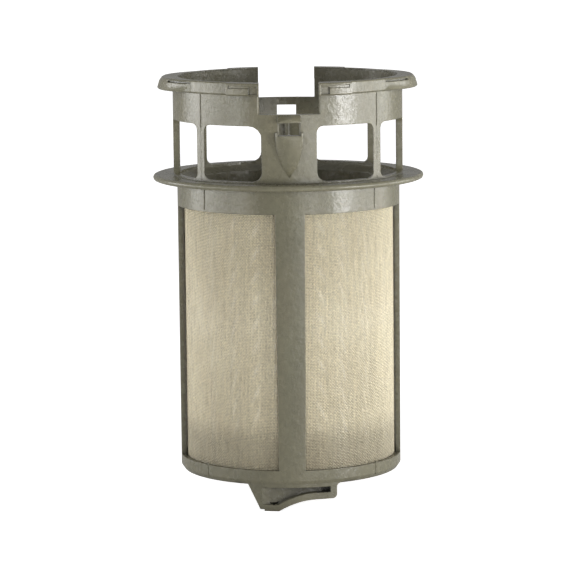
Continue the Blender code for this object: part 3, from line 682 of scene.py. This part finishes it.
def make_stage():
    material, tree, shader = new_material("pale_floor", Base_Color=PALE, Roughness=0.9,
                                          Emission_Color=WHITE)
    path = tree.nodes.new("ShaderNodeLightPath")
    glow = node(tree, "ShaderNodeMath", {1: STAGE_GLOW}, operation='MULTIPLY')
    tree.links.new(path.outputs["Is Camera Ray"], glow.inputs[0])
    tree.links.new(glow.outputs[0], shader.inputs["Emission Strength"])
    bm = bmesh.new()
    bmesh.ops.create_circle(bm, cap_ends=True, segments=96, radius=STAGE_RADIUS,
                            matrix=Matrix.Translation((0, 0, cad_low.z - STAGE_DROP)))
    mesh = bpy.data.meshes.new("floor")
    bm.to_mesh(mesh)
    bm.free()
    mesh.materials.append(material)
    stage = bpy.data.objects.new("floor", mesh)
    bpy.context.scene.collection.objects.link(stage)


make_stage()
print("floor laid")

# %% [markdown]
# Light comes from seven soft boxes and the white world. Each box is an area lamp that looks at the
# middle of the filter, and is placed by how far it stands round to the right of the camera and how
# high. The narrow one at the right gives the highlight on the round walls. The world is seen as
# pure white, and lights the object less than that.

# %% Stage: lamps and world
MIDDLE = (cad_low + cad_high) / 2
BOX_DISTANCE = 0.75
WORLD_LIGHT = 0.39
SOFT_BOXES = (  # name, degrees to the right, degrees up, width and height in metres, watts
    ("front", 22, -6, (0.30, 0.30), 1.8),
    ("right_front", 56, 2, (0.06, 0.18), 2.4),
    ("right_side", 78, -6, (0.35, 0.40), 2.2),
    ("right_back", 105, 2, (0.35, 0.40), 1.8),
    ("left_front", -52, 0, (0.15, 0.30), 1.0),
    ("left_side", -80, -6, (0.30, 0.40), 1.9),
    ("left_back", -106, 2, (0.30, 0.40), 2.0))


def soft_box(name, turn, rise, size, power):
    """An area lamp round the object that looks at its middle."""
    lamp = bpy.data.lights.new(name, 'AREA')
    lamp.shape = 'RECTANGLE'
    lamp.size, lamp.size_y = size
    lamp.energy = power
    holder = bpy.data.objects.new(name, lamp)
    bpy.context.scene.collection.objects.link(holder)
    turn, rise = math.radians(turn), math.radians(rise)
    away = Vector((math.sin(turn) * math.cos(rise), -math.cos(turn) * math.cos(rise),
                   math.sin(rise)))
    holder.location = MIDDLE + BOX_DISTANCE * away
    holder.rotation_euler = (-away).to_track_quat('-Z', 'Y').to_euler()


def make_world():
    """A white world, as bright as it is written only for rays that see it straight."""
    world = bpy.data.worlds.new("white_room")
    world.use_nodes = True
    bpy.context.scene.world = world
    tree = world.node_tree
    path = tree.nodes.new("ShaderNodeLightPath")
    seen = node(tree, "ShaderNodeMath", operation='MAXIMUM')
    tree.links.new(path.outputs["Is Camera Ray"], seen.inputs[0])
    tree.links.new(path.outputs["Is Transmission Ray"], seen.inputs[1])
    strength = node(tree, "ShaderNodeMapRange", {"To Min": WORLD_LIGHT, "To Max": 1.0})
    tree.links.new(seen.outputs[0], strength.inputs["Value"])
    background = tree.nodes["Background"]
    background.inputs["Color"].default_value = WHITE
    tree.links.new(strength.outputs[0], background.inputs["Strength"])


make_world()
for box in SOFT_BOXES:
    soft_box(*box)
print("lamps:", [lamp.name for lamp in bpy.data.lights])

# %% [markdown]
# ## Camera
#
# The photograph was taken from the front with a long lens, about 0.94 m away and 8 degrees above
# the level. The camera leans over by half a degree, and stands a little to the left of the filter's
# front. Its height is worked out from the top of the flange, which the photograph shows best.

# %% Camera
LENS = 197.33
SENSOR = 36.0
CLIP_NEAR, CLIP_FAR = 0.05, 30.0
CAMERA_PITCH = math.radians(7.875)
CAMERA_ROLL = math.radians(-0.58)
CAMERA_TURN = math.radians(0.6)
FLANGE_TOP = 95.6 * MM
CAMERA_SPOT = (-0.43 * MM, -930.43 * MM, 94.09 * MM + FLANGE_TOP)


def make_camera():
    data = bpy.data.cameras.new("camera")
    data.sensor_width = SENSOR
    data.lens = LENS
    data.clip_start, data.clip_end = CLIP_NEAR, CLIP_FAR
    camera = bpy.data.objects.new("camera", data)
    bpy.context.scene.collection.objects.link(camera)
    forward = Vector((0.0, math.cos(CAMERA_PITCH), -math.sin(CAMERA_PITCH)))
    level = Vector((1.0, 0.0, 0.0))
    upright = level.cross(forward)
    right = math.cos(CAMERA_ROLL) * level + math.sin(CAMERA_ROLL) * upright
    up = math.cos(CAMERA_ROLL) * upright - math.sin(CAMERA_ROLL) * level
    axes = Matrix((right, up, -forward)).transposed().to_4x4()
    turn = Matrix.Rotation(-CAMERA_TURN, 4, 'Z')
    camera.matrix_world = turn @ Matrix.Translation(CAMERA_SPOT) @ axes
    bpy.context.scene.camera = camera
    return camera


camera = make_camera()
bpy.context.scene.view_settings.view_transform = 'Standard'
print("camera at", [round(part, 3) for part in camera.location])
